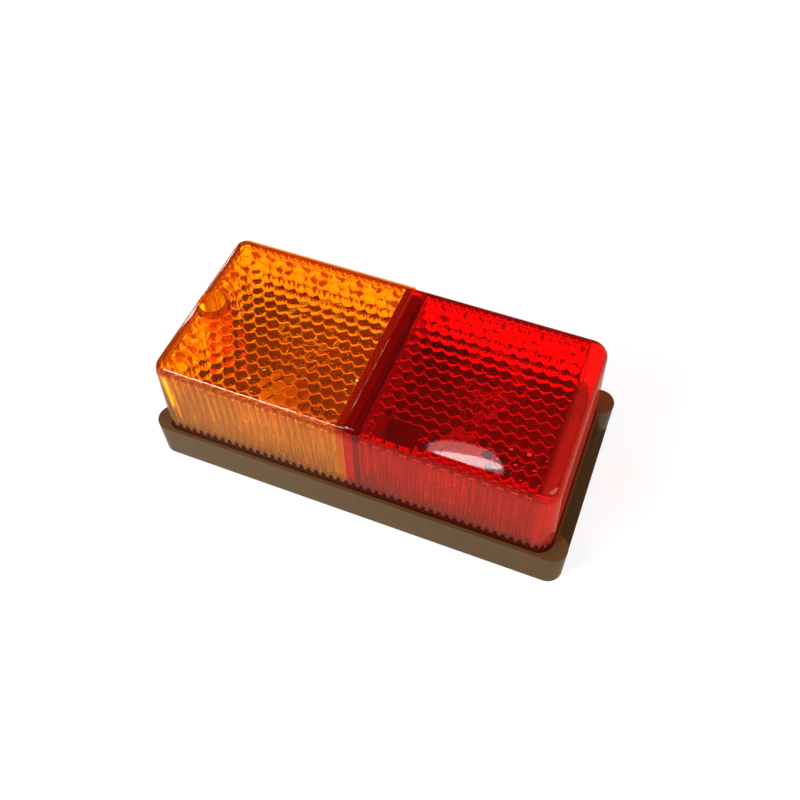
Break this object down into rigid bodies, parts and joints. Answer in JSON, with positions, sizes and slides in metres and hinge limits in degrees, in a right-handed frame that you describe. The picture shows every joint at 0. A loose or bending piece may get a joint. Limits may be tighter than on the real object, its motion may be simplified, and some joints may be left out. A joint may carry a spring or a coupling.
{
  "type": "tail light cluster",
  "caption": "Rectangular rear lamp with an amber and a red lens side by side on a black base with round corner posts.",
  "frame": {"origin": "middle of the mounting face, at the bottom of the lamp as it lies on its back", "axes": "+X along the lamp towards the red end, +Y across it, +Z out of the mounting face towards the lens face"},
  "size_m": [0.1424, 0.068, 0.0465],
  "materials": {
    "base_plastic": "glossy moulded",
    "amber_lens": "clear glossy amber acrylic",
    "red_lens": "clear glossy red acrylic",
    "seal_rubber": "matt",
    "grommet_rubber": "matt",
    "plated_steel": "zinc plated",
    "brass": "bright",
    "insulator": "pressed laminate",
    "bulb_glass": "clear"
  },
  "bodies": {
    "root": {"base_housing": "base_plastic", "lens_gasket": "seal_rubber", "amber_lens": "amber_lens", "red_lens": "red_lens", "lens_screw": "plated_steel", "cable_grommet": "grommet_rubber", "indicator_bracket": "plated_steel", "stop_tail_bracket": "plated_steel", "bracket_rivets": "plated_steel", "indicator_shell": "plated_steel", "stop_tail_shell": "plated_steel", "indicator_insulator": "insulator", "stop_tail_insulator": "insulator", "indicator_contact": "brass", "stop_contact": "brass", "tail_contact": "brass", "earth_strip": "brass", "contact_rivets": "brass", "indicator_bulb_cap": "brass", "stop_tail_bulb_cap": "brass", "indicator_bulb_glass": "bulb_glass", "stop_tail_bulb_glass": "bulb_glass"}
  },
  "joints": []
}
